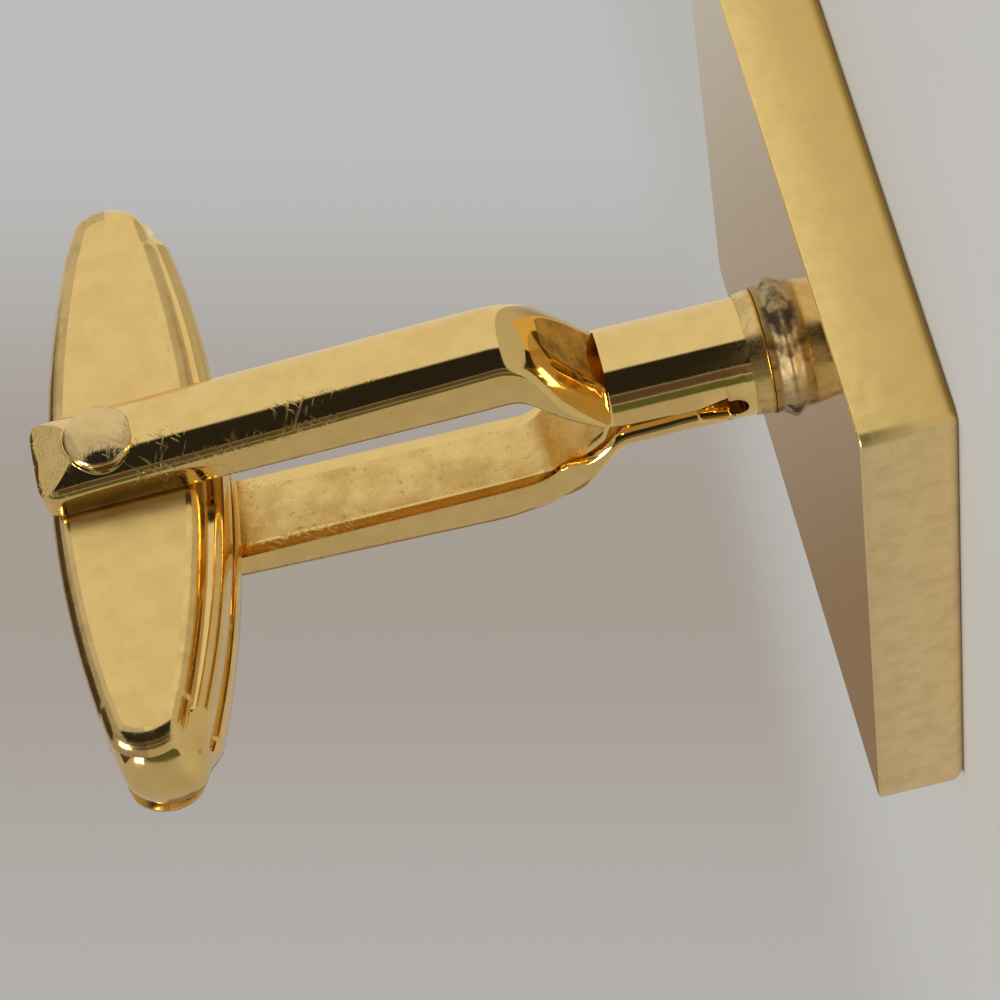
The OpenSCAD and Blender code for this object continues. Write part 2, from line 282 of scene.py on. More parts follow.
class Shader:
    """A material's node tree, with short calls for the nodes that the finishes share."""

    def __init__(self, name: str) -> None:
        """Starts an empty metal material of that name."""
        self.material = bpy.data.materials.new(name)
        self.material.use_nodes = True
        self.tree = self.material.node_tree
        self.principled = self.tree.nodes["Principled BSDF"]
        self.place = self.tree.nodes.new("ShaderNodeTexCoord").outputs["Object"]

    def node(self, kind: str, **values: object) -> bpy.types.Node:
        """Adds a node.

        Args:
            kind: the node's type.
            values: attributes to set on it.

        Returns:
            The node.
        """
        made = self.tree.nodes.new(kind)
        for key, value in values.items():
            setattr(made, key, value)
        return made

    def link(self, source: bpy.types.NodeSocket, target: bpy.types.NodeSocket) -> None:
        """Joins two sockets."""
        self.tree.links.new(source, target)

    def stretched(self, stretch: Triple) -> bpy.types.NodeSocket:
        """Object coordinates, stretched.

        Args:
            stretch: factors along X, Y and Z.

        Returns:
            The socket with the coordinates.
        """
        mapping = self.node("ShaderNodeMapping")
        mapping.inputs["Scale"].default_value = stretch
        self.link(self.place, mapping.inputs["Vector"])
        return mapping.outputs["Vector"]

    def noise(self, per_mm: float, detail: float = 4.0, rough: float = 0.55,
              place: bpy.types.NodeSocket | None = None) -> bpy.types.NodeSocket:
        """Cloudy noise.

        Args:
            per_mm: features per millimetre.
            detail: octaves of finer noise.
            rough: strength of the finer noise.
            place: coordinates, the object's own if left out.

        Returns:
            The socket with the value.
        """
        made = self.node("ShaderNodeTexNoise")
        made.inputs["Scale"].default_value = per_mm / MM
        made.inputs["Detail"].default_value = detail
        made.inputs["Roughness"].default_value = rough
        self.link(place or self.place, made.inputs["Vector"])
        return made.outputs["Fac"]

    def ramp(self, value: bpy.types.NodeSocket, low: float, high: float,
             to_low: float = 0.0, to_high: float = 1.0) -> bpy.types.NodeSocket:
        """Maps a value from one range to another and holds it there.

        Args:
            value: the socket with the value.
            low: value that gives to_low.
            high: value that gives to_high.
            to_low: result at the low end.
            to_high: result at the high end.

        Returns:
            The socket with the result.
        """
        made = self.node("ShaderNodeMapRange", clamp=True, interpolation_type="SMOOTHSTEP")
        for socket, number in zip(made.inputs[1:5], (low, high, to_low, to_high)):
            socket.default_value = number
        self.link(value, made.inputs[0])
        return made.outputs[0]

    def math(self, operation: str, a: bpy.types.NodeSocket,
             b: bpy.types.NodeSocket | float) -> bpy.types.NodeSocket:
        """Combines two values.

        Args:
            operation: the Math node's operation.
            a: first value.
            b: second value, a socket or a number.

        Returns:
            The socket with the result.
        """
        made = self.node("ShaderNodeMath", operation=operation)
        self.link(a, made.inputs[0])
        if isinstance(b, float):
            made.inputs[1].default_value = b
        else:
            self.link(b, made.inputs[1])
        return made.outputs[0]

    def blend(self, share: bpy.types.NodeSocket, a: Colour | bpy.types.NodeSocket,
              b: Colour) -> bpy.types.NodeSocket:
        """Blends two colours.

        Args:
            share: share of the second colour.
            a: first colour, or a socket with one.
            b: second colour.

        Returns:
            The socket with the colour.
        """
        made = self.node("ShaderNodeMix", data_type="RGBA")
        self.link(share, made.inputs["Factor"])
        first, second = made.inputs[6], made.inputs[7]
        if isinstance(a, tuple):
            first.default_value = (*a, 1.0)
        else:
            self.link(a, first)
        second.default_value = (*b, 1.0)
        return made.outputs[2]

    def bump(self, height: bpy.types.NodeSocket, depth_um: float,
             below: bpy.types.NodeSocket | None = None) -> bpy.types.NodeSocket:
        """Relief from a height.

        Args:
            height: the height, from 0 to 1.
            depth_um: depth in thousandths of a millimetre.
            below: normals of a coarser relief under this one.

        Returns:
            The socket with the normals.
        """
        made = self.node("ShaderNodeBump")
        made.inputs["Strength"].default_value = 1.0
        made.inputs["Distance"].default_value = depth_um * MM * MM
        self.link(height, made.inputs["Height"])
        if below is not None:
            self.link(below, made.inputs["Normal"])
        return made.outputs["Normal"]

    def finish(self, colour: bpy.types.NodeSocket, roughness: bpy.types.NodeSocket,
               normal: bpy.types.NodeSocket) -> bpy.types.Material:
        """Plugs the results into the shader of a metal.

        Args:
            colour: base colour.
            roughness: roughness.
            normal: normals of the relief.

        Returns:
            The material.
        """
        self.principled.inputs["Metallic"].default_value = 1.0
        self.link(colour, self.principled.inputs["Base Color"])
        self.link(roughness, self.principled.inputs["Roughness"])
        self.link(normal, self.principled.inputs["Normal"])
        return self.material

    def shine(self, colour: Colour | bpy.types.NodeSocket,
              share: bpy.types.NodeSocket | None = None) -> bpy.types.Material:
        """Makes the material glow in a colour instead, and be clear for the rest.

        Args:
            colour: the colour, or a socket with one.
            share: how much of it glows, all if left out.

        Returns:
            The material.
        """
        glow = self.node("ShaderNodeEmission")
        if isinstance(colour, tuple):
            glow.inputs["Color"].default_value = (*colour, 1.0)
        else:
            self.link(colour, glow.inputs["Color"])
        result = glow.outputs["Emission"]
        if share is not None:
            mixed = self.node("ShaderNodeMixShader")
            clear = self.node("ShaderNodeBsdfTransparent").outputs["BSDF"]
            for source, target in zip((share, clear, result), mixed.inputs):
                self.link(source, target)
            result = mixed.outputs["Shader"]
        output = next(n for n in self.tree.nodes if n.type == "OUTPUT_MATERIAL")
        self.link(result, output.inputs["Surface"])
        return self.material


@dataclass(frozen=True)
class Scratches:
    """Short fine scratches of two slants, in patches on the outer part of the arms.

    They are the peaks of a noise that is drawn out along one way.
    """

    slants: Span = (24.0, -50.0)
    around: float = -32.0
    drawn: float = 9.0
    per_mm: float = 13.0
    line: Span = (0.58, 0.67)
    patch_per_mm: float = 0.7
    patch: Span = (0.36, 0.52)
    start_mm: float = 10.5
    full_mm: float = 13.5

    def lines(self, shader: Shader, slant: float) -> bpy.types.NodeSocket:
        """Scratches of one slant.

        Args:
            shader: the material's nodes.
            slant: angle of the scratches about Y in degrees.

        Returns:
            The socket with the value, 1 on a scratch.
        """
        turn = (0.0, math.radians(slant), math.radians(self.around))
        mapping = shader.node("ShaderNodeMapping", vector_type="TEXTURE")
        mapping.inputs["Scale"].default_value = (self.drawn, 1.0, 1.0)
        mapping.inputs["Rotation"].default_value = turn
        shader.link(shader.place, mapping.inputs["Vector"])
        peaks = shader.noise(self.per_mm, detail=1.0, place=mapping.outputs["Vector"])
        return shader.ramp(peaks, *self.line)

    def value(self, shader: Shader) -> bpy.types.NodeSocket:
        """All the scratches, kept to patches and to the arms.

        Args:
            shader: the material's nodes.

        Returns:
            The socket with the value, 1 on a scratch.
        """
        first, second = (self.lines(shader, slant) for slant in self.slants)
        split = shader.node("ShaderNodeSeparateXYZ")
        shader.link(shader.place, split.inputs["Vector"])
        arm = shader.ramp(split.outputs["Z"], self.start_mm * MM, self.full_mm * MM)
        patch = shader.ramp(shader.noise(self.patch_per_mm, detail=2.0), *self.patch)
        return shader.math("MULTIPLY", shader.math("MAXIMUM", first, second),
                           shader.math("MULTIPLY", patch, arm))


@dataclass(frozen=True)
class GoldFinish:
    """Gold plate on brass, from mirror-bright to satin, with its wear."""

    name: str
    bright: Colour = (0.91, 0.64, 0.235)
    deep: Colour = (0.72, 0.45, 0.13)
    roughness: float = 0.12
    roughness_spread: float = 0.08
    least_roughness: float = 0.03
    mottle_per_mm: float = 1.2
    mottle_share: float = 0.35
    mottle: Span = (0.38, 0.68)
    streak: Triple = (1.0, 1.0, 1.0)
    streak_per_mm: float = 2.0
    streak_um: float = 0.4
    streak_weight: float = 0.6
    grain_per_mm: float = 18.0
    grain_um: float = 0.4
    unevenness: Span = (0.35, 0.65)
    speck_per_mm: float = 7.0
    speck_share: float = 0.0
    speck: Span = (0.58, 0.70)
    speck_colour: Colour = (0.2, 0.12, 0.04)
    scratch_share: float = 0.0
    scratch_um: float = 2.0

    def material(self) -> bpy.types.Material:
        """Mixes the gold's two tones and specks, its roughness and its relief.

        Returns:
            The finish as a material.
        """
        shader = Shader(self.name)
        cloud = shader.noise(self.mottle_per_mm, detail=5.0, rough=0.6)
        streak = shader.noise(self.streak_per_mm, detail=3.0, place=shader.stretched(self.streak))
        grain = shader.noise(self.grain_per_mm, detail=2.0)
        worn = shader.ramp(cloud, *self.mottle, 0.0, self.mottle_share)
        colour = shader.blend(worn, self.bright, self.deep)
        if self.speck_share > 0.0:
            speck = shader.noise(self.speck_per_mm, detail=4.0, rough=0.7)
            spotted = shader.ramp(speck, *self.speck, 0.0, self.speck_share)
            colour = shader.blend(spotted, colour, self.speck_colour)
        mixed = shader.math("ADD", shader.math("MULTIPLY", streak, self.streak_weight),
                            shader.math("MULTIPLY", grain, 1.0 - self.streak_weight))
        low = max(self.roughness - self.roughness_spread, self.least_roughness)
        high = self.roughness + self.roughness_spread
        roughness = shader.ramp(mixed, *self.unevenness, low, high)
        normal = shader.bump(grain, self.grain_um, shader.bump(streak, self.streak_um))
        if self.scratch_share > 0.0:
            scratch = Scratches().value(shader)
            normal = shader.bump(scratch, self.scratch_um, normal)
            rough_scratch = shader.math("MULTIPLY", scratch, self.scratch_share)
            roughness = shader.math("ADD", roughness, rough_scratch)
        return shader.finish(colour, roughness, normal)


@dataclass(frozen=True)
class SolderFinish:
    """Rough solder: dull gold with brown patches and black flux stains."""

    name: str
    pale: Colour = (0.47, 0.355, 0.175)
    brown: Colour = (0.24, 0.15, 0.06)
    black: Colour = (0.09, 0.06, 0.035)
    patch_per_mm: float = 1.5
    patch_um: float = 20.0
    patch: Span = (0.50, 0.66)
    stain_per_mm: float = 1.8
    stain_um: float = 12.0
    stain: Span = (0.53, 0.68)
    grain_per_mm: float = 9.0
    grain_um: float = 3.0
    roughness: Span = (0.40, 0.65)

    def material(self) -> bpy.types.Material:
        """Mixes the solder's patches, stains and lumps.

        Returns:
            The finish as a material.
        """
        shader = Shader(self.name)
        patch = shader.noise(self.patch_per_mm, detail=4.0, rough=0.65)
        stain = shader.noise(self.stain_per_mm, detail=2.0, rough=0.5)
        grain = shader.noise(self.grain_per_mm, detail=2.0)
        colour = shader.blend(shader.ramp(patch, *self.patch), self.pale, self.brown)
        colour = shader.blend(shader.ramp(stain, *self.stain), colour, self.black)
        roughness = shader.ramp(patch, 0.3, 0.7, *self.roughness)
        lumps = shader.bump(stain, self.stain_um, shader.bump(patch, self.patch_um))
        return shader.finish(colour, roughness, shader.bump(grain, self.grain_um, lumps))


@dataclass(frozen=True)
class SteelFinish:
    """Blued spring steel with a light brushing along its length."""

    name: str
    steel: Colour = (0.42, 0.43, 0.46)
    blued: Colour = (0.22, 0.25, 0.33)
    along: Triple = (0.08, 1.0, 1.0)
    brushing_per_mm: float = 12.0
    brushing_um: float = 0.8
    patch_per_mm: float = 0.5
    roughness: Span = (0.22, 0.4)

    def material(self) -> bpy.types.Material:
        """Mixes the steel's two tones and its brushing.

        Returns:
            The finish as a material.
        """
        shader = Shader(self.name)
        brushing = shader.noise(self.brushing_per_mm, place=shader.stretched(self.along))
        patch = shader.noise(self.patch_per_mm)
        colour = shader.blend(shader.ramp(patch, 0.4, 0.65), self.steel, self.blued)
        roughness = shader.ramp(brushing, 0.3, 0.7, *self.roughness)
        return shader.finish(colour, roughness, shader.bump(brushing, self.brushing_um))


BACK_FINISH = GoldFinish("polished_back", roughness=0.07, roughness_spread=0.03,
                         mottle_share=0.2, streak_um=0.15, grain_um=0.1)
EDGE_FINISH = GoldFinish("satin_edge", bright=(0.90, 0.68, 0.33), deep=(0.70, 0.49, 0.22),
                         roughness=0.38, roughness_spread=0.07, mottle_per_mm=1.5,
                         mottle_share=0.45, streak_per_mm=3.0, streak_um=0.9,
                         grain_per_mm=14.0, grain_um=1.2)
# A brighter copy of the satin edge gold for the edge faces towards -Y: painted light on the lit
# side, not a different finish.
LIT_EDGE_FINISH = replace(EDGE_FINISH, name="satin_edge_painted_light", bright=(1.0, 0.72, 0.26),
                           deep=(0.86, 0.61, 0.22), roughness=0.36, mottle_share=0.4)
FRONT_FINISH = GoldFinish("satin_front", roughness=0.3, roughness_spread=0.05,
                          streak=(0.05, 1.0, 1.0), streak_per_mm=9.0, streak_um=1.2)
WIRE_FINISH = GoldFinish("bright_wire", roughness=0.06, roughness_spread=0.03, mottle_per_mm=1.6,
                         mottle_share=0.3, streak=(1.0, 1.0, 0.25), streak_per_mm=1.6,
                         streak_um=1.2, grain_per_mm=14.0, grain_um=0.12, scratch_share=0.28)
# The crank's facet: dark brown gold standing in for the dark reflection it shows, a painted
# reflection; its relief is real.
FACET_PAINTED_REFLECTION_FINISH = GoldFinish("facet_painted_reflection", bright=(0.54, 0.34, 0.11), deep=(0.20, 0.12, 0.035),
                           roughness=0.2, mottle_per_mm=1.6, mottle_share=0.9,
                           streak=(1.0, 1.0, 0.5), streak_um=5.0, grain_um=0.6)
INNER_FINISH = GoldFinish("satin_inner", deep=(0.6, 0.36, 0.09), roughness=0.3,
                          mottle_share=0.6, streak=(1.0, 1.0, 0.3), streak_um=1.4,
                          grain_um=1.4, speck_share=0.5)
CHEEK_FINISH = GoldFinish("satin_cheek", roughness=0.33, roughness_spread=0.05, mottle_share=0.3,
                          streak=(1.4, 1.0, 0.45), streak_per_mm=1.7, streak_um=0.9,
                          grain_um=0.9)
ROUND_FINISH = GoldFinish("worn_round", roughness=0.17, roughness_spread=0.07,
                          mottle_per_mm=2.2, mottle_share=0.6, streak_um=0.8, grain_um=0.8)
# A darker copy of the worn round for the rim's outer side: painted shade standing in for the dark
# reflection there.
SHADED_ROUND_FINISH = replace(ROUND_FINISH, name="round_painted_shade", bright=(0.68, 0.47, 0.19),
                       deep=(0.46, 0.31, 0.12))
RING_FINISH = GoldFinish("worn_ring", bright=(0.80, 0.57, 0.22), deep=(0.50, 0.33, 0.12),
                         roughness=0.27, mottle_per_mm=2.0, mottle_share=0.7, streak_um=1.4,
                         grain_um=1.2, speck_per_mm=3.0, speck_share=0.5)
CORE_FINISH = GoldFinish("bright_core", roughness=0.1, roughness_spread=0.05,
                         streak=(0.12, 1.0, 1.0), streak_per_mm=5.0, streak_um=0.3)
HEAD_FINISH = GoldFinish("bright_head", bright=(0.82, 0.59, 0.25), deep=(0.50, 0.35, 0.16),
                         roughness_spread=0.06, mottle_share=0.6, streak_um=1.0, grain_um=0.5,
                         scratch_share=0.2)


# Pieces


@dataclass
class Part:
    """What every piece of the link shares: how it is carried on its body in place of its CAD node.
    """

    def place(self, made: bpy.types.Object, body: Body, slot: Slot, node: str) -> bpy.types.Object:
        """Seats a finished piece on its body in place of a CAD node.

        Args:
            made: the piece.
            body: the body that it rides on.
            slot: the record's material slot; not used.
            node: the CAD node that it stands for.

        Returns:
            The piece.
        """
        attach(made, body.value)
        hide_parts(node)
        LOG.info("%s: %d faces on %s", made.name, len(made.data.polygons), body.value)
        return made


@dataclass
class FacePlate(Part):
    """The square plate: bright back, satin edges, rounded corners, a bevel in front."""

    half: float
    thickness: float
    corner_r: float = 0.3
    least_corner_r: float = 0.02
    edge_r: float = 0.07
    bevel: float = 0.2
    draft: float = 0.01
    support: float = 0.03
    back_support: float = 0.24
    corner_steps: int = 9

    def profile(self) -> Array:
        """The edge's outline: how far out, and how high, from the back to the front.

        Returns:
            Reach past the plate's side and height, one point per row.
        """
        top, r = self.thickness, self.edge_r
        back = fillet((-r, top - r), r, 90.0, 0.0)
        lip = fillet((-self.bevel - self.support, r), r, -45.0, -90.0)
        lip[:, 1] -= lip[-1, 1]
        slope = np.array([[0.0, self.bevel + r], [-self.draft, self.bevel + r / 2]])
        return np.concatenate([[[-r - self.back_support, top], [-r - self.support, top]], back,
                               slope, lip, [[lip[-1, 0] - self.support, 0.0]]])

    def rings(self) -> Array:
        """Rings of a rounded square: four corner arcs, drawn in and set at each height.

        Returns:
            Rings from the middle of the front face, over its edge and up to the back.
        """
        profile = self.profile()
        inset = -profile[:, 0]
        radius = np.maximum(self.corner_r - inset, self.least_corner_r)[:, None, None]
        centre = (self.half - inset)[:, None, None] - radius
        sides = np.arange(4)[:, None] * 90.0
        turns = np.radians(sides + np.linspace(0.0, 90.0, self.corner_steps))
        quarter = np.radians(sides + 45.0) + np.zeros_like(turns)
        x = centre * np.sign(np.cos(quarter)) + radius * np.cos(turns)
        y = centre * np.sign(np.sin(quarter)) + radius * np.sin(turns)
        z = np.broadcast_to(profile[:, 1][:, None, None], x.shape)
        return with_poles(np.stack([x, y, z], -1).reshape(len(profile), -1, 3))[::-1]

    def build(self) -> bpy.types.Object:
        """Builds the plate and dresses its back, edges and front; the edge faces towards -Y get a
        brighter copy of the edge gold, a painted highlight.

        Returns:
            The plate.
        """
        back, edge, front, lit_edge = range(4)
        rings = self.rings()
        finish = np.full((len(rings) - 1, rings.shape[1]), edge)
        finish[-3:] = back
        finish[:2] = front
        middle = (rings[1:-2] + np.roll(rings[1:-2], -1, axis=1)) / 2
        # Edge faces towards -Y take the brighter gold: a painted highlight on the lit side.
        lit_faces = middle[:, :, 1] < -np.abs(middle[:, :, 0])
        finish[1:-1][(finish[1:-1] == edge) & lit_faces] = lit_edge
        made = lofted(rings, finish).to_object("gold_plate", [
            BACK_FINISH.material(), EDGE_FINISH.material(), FRONT_FINISH.material(),
            LIT_EDGE_FINISH.material()])
        return self.place(made, Body.FRAME, Slot.GOLD, "face_plate")


@dataclass
class SolderAndCollar(Part):
    """The rough solder round the stem's root and the ring just above it."""

    base_z: float
    stem_r: float = STEM_R
    film: float = 0.01
    foot_r: float = 1.64
    waist_r: float = 1.47
    top_r: float = 1.49
    solder_h: float = 0.45
    flare_share: float = 0.7
    lip_share: float = 0.4
    lump: float = 0.022
    lumps_per_mm: Span = (0.7, 1.5)
    most_lump: float = 1.5
    free_over: float = 0.05
    collar_r: float = 1.475
    collar_len: float = 0.45
    collar_foot_r: float = 0.08
    collar_lip: float = 0.01
    collar_rows: int = 14
    columns: int = 200
    rows: int = 30

    def build_solder(self) -> bpy.types.Object:
        """Builds the solder: a waisted ring whose outer radius swells and sinks by noise.

        Returns:
            The solder.
        """
        t = np.linspace(0.0, 1.0, self.rows)
        flare = (self.foot_r - self.waist_r) * (1.0 - smoothstep(t / self.flare_share))
        lip_t = (t - (1.0 - self.lip_share)) / self.lip_share
        lip = (self.top_r - self.waist_r) * smoothstep(lip_t)
        inner = self.stem_r + self.film
        profile = np.concatenate([[[inner, 0.0]],
                                  np.stack([self.waist_r + flare + lip, t * self.solder_h], 1),
                                  [[inner, self.solder_h], [inner, 0.0]]])
        rings = turned(profile, self.columns, self.base_z)
        flat = rings.reshape(-1, 3)
        coarse, fine = self.lumps_per_mm
        swell = waves(flat, coarse, seed=5) + 0.5 * waves(flat, fine, seed=6)
        swell = np.clip(swell, -self.most_lump, self.most_lump) * self.lump
        radius = np.hypot(flat[:, 0], flat[:, 1])
        free = smoothstep((radius - inner) / self.free_over)
        flat[:, :2] *= (1.0 + swell * free / radius)[:, None]
        made = lofted(flat.reshape(rings.shape)).to_object(
            "solder_joint", [SolderFinish("flux_stained_solder").material()], crease=60.0)
        return self.place(made, Body.FRAME, Slot.SOLDER, "solder_fillet")

    def build_collar(self) -> bpy.types.Object:
        """Builds the collar: a ring that swells softly from the stem down to the solder.

        Returns:
            The collar.
        """
        inner, r = self.stem_r + self.film, self.collar_foot_r
        t = np.linspace(0.0, 1.0, self.collar_rows)
        swell = self.collar_r - (self.collar_r - inner - self.collar_lip) * smoothstep(t)
        profile = np.concatenate([
            [[inner, 0.0]], fillet((self.collar_r - r, r), r, -90.0, 0.0)[:-1],
            np.stack([swell, r + (self.collar_len - r) * t], 1),
            [[inner, self.collar_len], [inner, 0.0]]])
        rings = turned(profile, self.columns, self.base_z + self.solder_h)
        made = lofted(rings).to_object("stem_ring", [RING_FINISH.material()])
        return self.place(made, Body.FRAME, Slot.GOLD, "stem_collar")


@dataclass(frozen=True)
class Crank:
    """The bend of one leg: where its flat and its crown leave the stem and how they rise."""

    flat_z: float
    crown_z: float
    low_y: float
    high_y: float
    shoulder_z: float
    narrow_len: float


NEAR_CRANK = Crank(flat_z=6.45, crown_z=6.38, low_y=2.25, high_y=3.09, shoulder_z=8.45,
                   narrow_len=2.75)
FAR_CRANK = Crank(flat_z=6.25, crown_z=6.2, low_y=2.62, high_y=3.18, shoulder_z=9.1,
                  narrow_len=1.7)


@dataclass
class Stirrup(Part):
    """Half-round wire folded flat to flat, cranked outwards into two straight arms.

    A leg is a stack of level sections drawn in polar form. The reach in each direction is
    the smooth least of the distances to the crown's arc, the two walls and the inner flat,
    and then the least of that and the distance to the crank's facet or the end's bevel,
    whose edges stay crisp.
    """

    base_z: float
    top_z: float
    pin_z: float
    crown_y: float
    taper: float = 2.75
    stem_r: float = STEM_R
    foot_len: float = 0.6
    slit: float = 0.1
    eye_r: float = 0.28
    eye_z: float = 3.48
    eye_close: float = 4.33
    slit_z: float = 5.0
    stem_top_z: float = 6.1
    gap_half: float = 0.15
    crank_top_z: float = 8.15
    flat_y: float = 1.75
    arc_r: float = ARM_ARC_R
    width: float = 2.06
    end_width: float = 2.3
    wall_flare: float = 1.5
    facet_z: float = 6.3
    facet_top_z: float = 7.6
    facet_foot_y: float = 1.1
    facet_head_y: float = 2.9
    low_z: float = 7.0
    high_z: float = 7.7
    bend_top_z: float = 9.4
    arm_low_z: float = 9.6
    bevel_len: float = 1.05
    bevel_deep: float = 0.6
    corner_r: float = 0.5
    end_r: float = 0.12
    weld_sharpness: float = 60.0
    stem_sharpness: float = 5.0
    arm_sharpness: float = 14.0
    bend_round: float = 0.3
    start_round: float = 0.08
    shoulder_round: float = 0.36
    blend_len: float = 0.5
    least_cut: float = 0.08
    most_cut: float = 0.85
    least_reach: float = 0.02
    half_columns: int = 40
    flat_columns: int = 18

    @property
    def joined_z(self) -> float:
        """Height of the eye's foot, below which the two legs are one."""
        return self.eye_z - self.eye_r

    @property
    def bevel_z(self) -> float:
        """Height at which the end's bevel starts."""
        return self.top_z - self.bevel_len

    def heights(self) -> Array:
        """Heights of the sections: close together at the eye, the crank and the end.

        Returns:
            The heights, rising.
        """
        eye = np.linspace(self.joined_z, self.eye_close, 34)
        stem = np.linspace(self.eye_close + 0.1, self.stem_top_z, 12)
        foot = [self.facet_z - 0.04, self.facet_z - HAIR, self.facet_z]
        facet = np.linspace(self.facet_z + 0.02, self.facet_top_z - 0.02, 40)
        head = [self.facet_top_z, self.facet_top_z + HAIR]
        bend = np.linspace(self.facet_top_z, self.bend_top_z, 38)
        arm = np.linspace(self.arm_low_z, self.bevel_z - 0.1, 40)
        bevel = np.linspace(self.bevel_z, self.top_z - self.corner_r, 14)
        corner = self.top_z - self.corner_r + self.corner_r * np.sin(np.linspace(0.0, 1.1, 14))
        end = self.top_z - self.end_r * (1.0 - np.sin(np.linspace(0.0, math.pi / 2, 7)))
        return np.unique(np.round(np.concatenate([
            [self.base_z, self.base_z + self.foot_len], eye, stem, foot, facet, head, bend, arm,
            [self.bevel_z - HAIR], bevel, corner[corner < self.top_z - self.end_r], end]), 5))

    def inner_line(self, z: Array, crank: Crank) -> Array:
        """Distance of the inner flat from the middle: nothing, the eye, the slit, the crank.

        Args:
            z: heights.
            crank: the leg's bend.

        Returns:
            The distance at each height.
        """
        dz = np.clip(z - self.eye_z, -self.eye_r, 0.0)
        round_part = np.sqrt(np.maximum(self.eye_r ** 2 - dz ** 2, 0.0))
        closing = np.interp(z, [self.eye_z, self.eye_close], [self.eye_r, self.slit / 2])
        below = np.where(z < self.eye_z, round_part, closing)
        below = np.where(z <= self.joined_z + TINY, 0.0, below)
        rise = rounded_line(z, [self.eye_close, crank.flat_z, self.crank_top_z],
                            [self.slit / 2, self.gap_half, self.flat_y], self.bend_round)
        return np.where(z > self.slit_z, rise, below)

    def crown_line(self, z: Array, crank: Crank) -> Array:
        """Distance of the outer crown from the middle before the facet is cut.

        The bend's foot is nearly sharp, its middle rounder and its shoulder softest.

        Args:
            z: heights.
            crank: the leg's bend.

        Returns:
            The distance at each height.
        """
        slope = math.tan(math.radians(self.taper))
        shoulder_y = self.crown_y + (self.pin_z - crank.shoulder_z) * slope
        end_y = self.crown_y + (self.pin_z - self.top_z) * slope
        knots_z = [crank.crown_z, self.low_z, self.high_z, crank.shoulder_z, self.top_z]
        knots_y = [self.stem_r, crank.low_y, crank.high_y, shoulder_y, end_y]
        start, line, late = (rounded_line(z, knots_z, knots_y, reach) for reach in
                             (self.start_round, self.bend_round, self.shoulder_round))
        line = line + (late - line) * smoothstep((z - self.high_z - 0.1) / self.blend_len)
        return start + (line - start) * smoothstep((z - crank.crown_z) / self.blend_len)

    def cut_line(self, z: Array) -> Array:
        """Distance of the crank's facet and of the end's bevel from the middle.

        Args:
            z: heights.

        Returns:
            The distance at each height.
        """
        share = (z - self.facet_z) / (self.facet_top_z - self.facet_z)
        facet = self.facet_foot_y + (self.facet_head_y - self.facet_foot_y) * share
        bevel = self.crown_y - self.bevel_deep * (z - self.bevel_z) / self.bevel_len
        return np.where(z < self.bevel_z, facet, bevel)

    def sharpness(self, z: Array) -> Array:
        """How sharp the edges beside the inner flat are, as the power of the smooth least.

        Args:
            z: heights.

        Returns:
            The power at each height.
        """
        knots = [self.joined_z, self.eye_z + 0.2, self.facet_z, self.crank_top_z + 1.0]
        return np.interp(z, knots, [self.weld_sharpness, self.stem_sharpness,
                                    self.stem_sharpness, self.arm_sharpness])

    def angles(self, cut: Array, corner: Array) -> Array:
        """Directions of a section's points: over the crown, with the cut's edges on columns,
        and then back across the flat.

        Args:
            cut: angle of the cut's edge at each height, from the outward direction.
            corner: angle of the flat's edge at each height.

        Returns:
            The angles, by height and column.
        """
        f = np.linspace(-1.0, 1.0, 2 * self.half_columns + 1)[None, :]
        beyond = np.sign(f) * (cut + (corner - cut) * (2.0 * np.abs(f) - 1.0))
        across = np.where(np.abs(f) <= 0.5, 2.0 * f * cut, beyond)
        s = np.linspace(0.0, 1.0, self.flat_columns + 2)[None, 1:-1]
        return np.concatenate([across, corner + (FULL_TURN - 2.0 * corner) * s], 1)

    def walls(self, z: Array, grow: Array) -> Array:
        """Half the leg's width between its two walls, with the arm end's round corners.

        Args:
            z: heights.
            grow: how far the stem's section has turned into the arm's.

        Returns:
            The half width at each height.
        """
        half = np.interp(z, [self.facet_z, self.top_z], [self.width / 2, self.end_width / 2])
        wall = half + (1.0 - grow) ** 2 * (self.stem_r + self.wall_flare - half)
        up = np.clip(z - (self.top_z - self.corner_r), 0.0, self.corner_r)
        return wall - self.corner_r + np.sqrt(self.corner_r ** 2 - up ** 2)

    def rings(self, crank: Crank) -> Array:
        """Rings of one leg on the +Y side, from the plate to the arm's end.

        Args:
            crank: the leg's bend.

        Returns:
            Rings of points.
        """
        z = self.heights()[:, None]
        inner = self.inner_line(z[:, 0], crank)[:, None]
        crown = self.crown_line(z[:, 0], crank)[:, None]
        grow = smoothstep((z - self.facet_z) / crank.narrow_len)
        radius = self.stem_r + (self.arc_r - self.stem_r) * grow
        wall = self.walls(z, grow)
        middle = (crown + inner) / 2
        lift = middle - crown + radius

        arc_x = np.sqrt(np.maximum(radius ** 2 - (inner - crown + radius) ** 2, 0.0))
        corner = np.arctan2(np.minimum(wall, arc_x), inner - middle)
        cut_y = self.cut_line(z)
        cut_x = np.sqrt(np.maximum(radius ** 2 - (cut_y - crown + radius) ** 2, 0.0))
        cut = np.arctan2(cut_x, cut_y - middle)
        is_cut = ((z >= self.facet_z) & (z <= self.facet_top_z)) | (z >= self.bevel_z)
        marked = is_cut[:, 0]
        cut = np.interp(z[:, 0], z[marked, 0], cut[marked, 0])[:, None]
        angle = self.angles(np.clip(cut, self.least_cut, self.most_cut * corner), corner)

